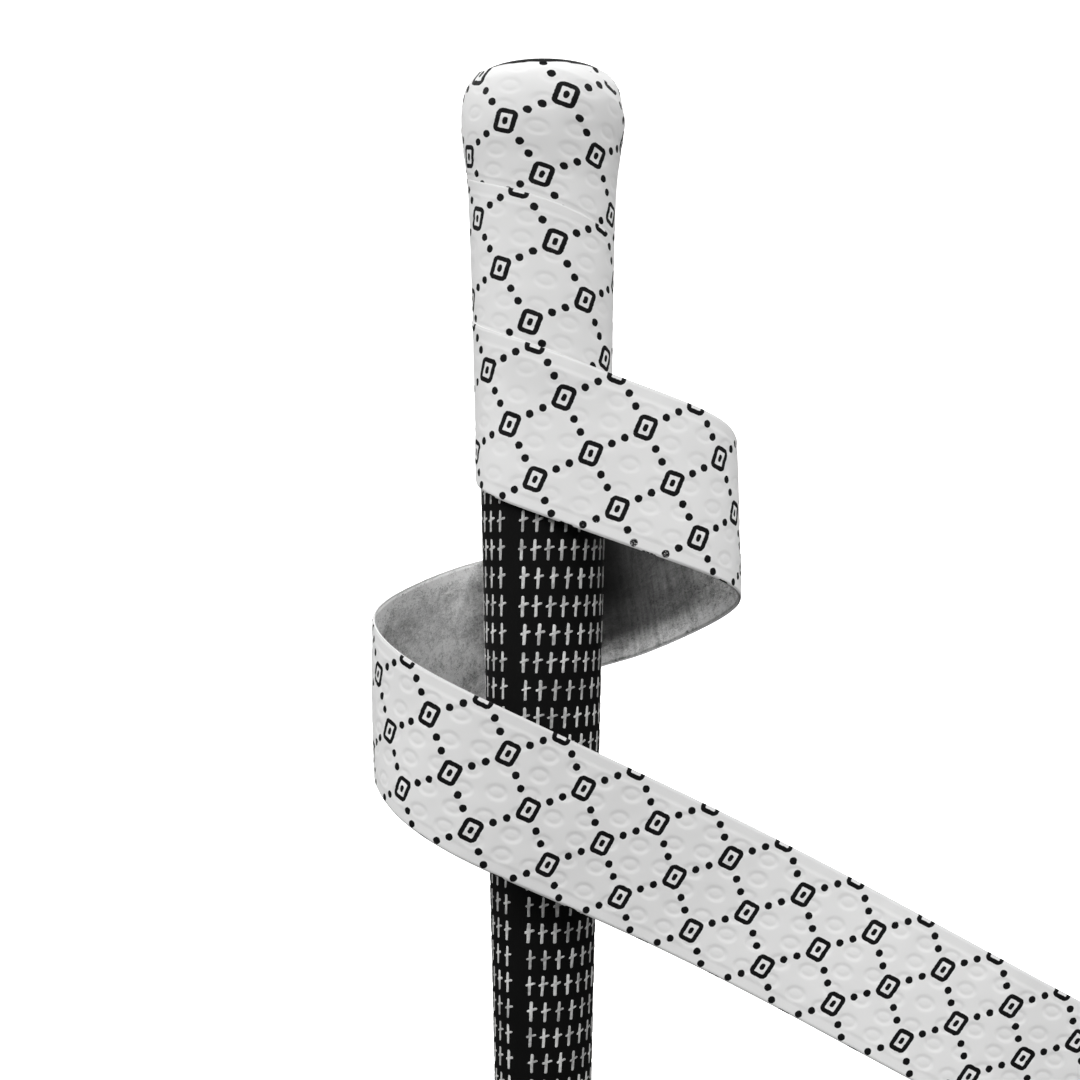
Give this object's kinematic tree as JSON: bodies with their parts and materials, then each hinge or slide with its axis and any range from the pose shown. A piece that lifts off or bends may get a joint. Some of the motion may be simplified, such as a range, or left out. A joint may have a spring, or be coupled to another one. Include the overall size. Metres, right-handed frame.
{
  "type": "golf grip",
  "caption": "Tapered rubber golf grip with a vented butt cap; a patterned felt-backed overgrip tape is wound on from the butt, then leaves it in a loose loop and a free tail.",
  "frame": {"origin": "centre of the shaft bore's mouth, at the open thin end of the grip", "axes": "+Z along the grip from the mouth to the butt cap; -Y is the side where the tape crosses in front of the grip; +X is the way the free tail runs"},
  "size_m": [0.1518, 0.0783, 0.267],
  "materials": {
    "sleeve_rubber": "matte moulded rubber with light paint-filled marks",
    "cap_rubber": "smooth moulded rubber",
    "adhesive_tab": "thin tacky film",
    "tape_felt": "mottled grey needle felt",
    "tape_face": "satin white polyurethane film, embossed, with a black repeat print"
  },
  "bodies": {
    "root": {"grip_sleeve": "sleeve_rubber", "butt_cap": "cap_rubber", "start_tab": "adhesive_tab", "wound_felt": "tape_felt", "wound_face": "tape_face", "loop_felt": "tape_felt", "loop_face": "tape_face", "tail_felt": "tape_felt", "tail_face": "tape_face"}
  },
  "joints": []
}
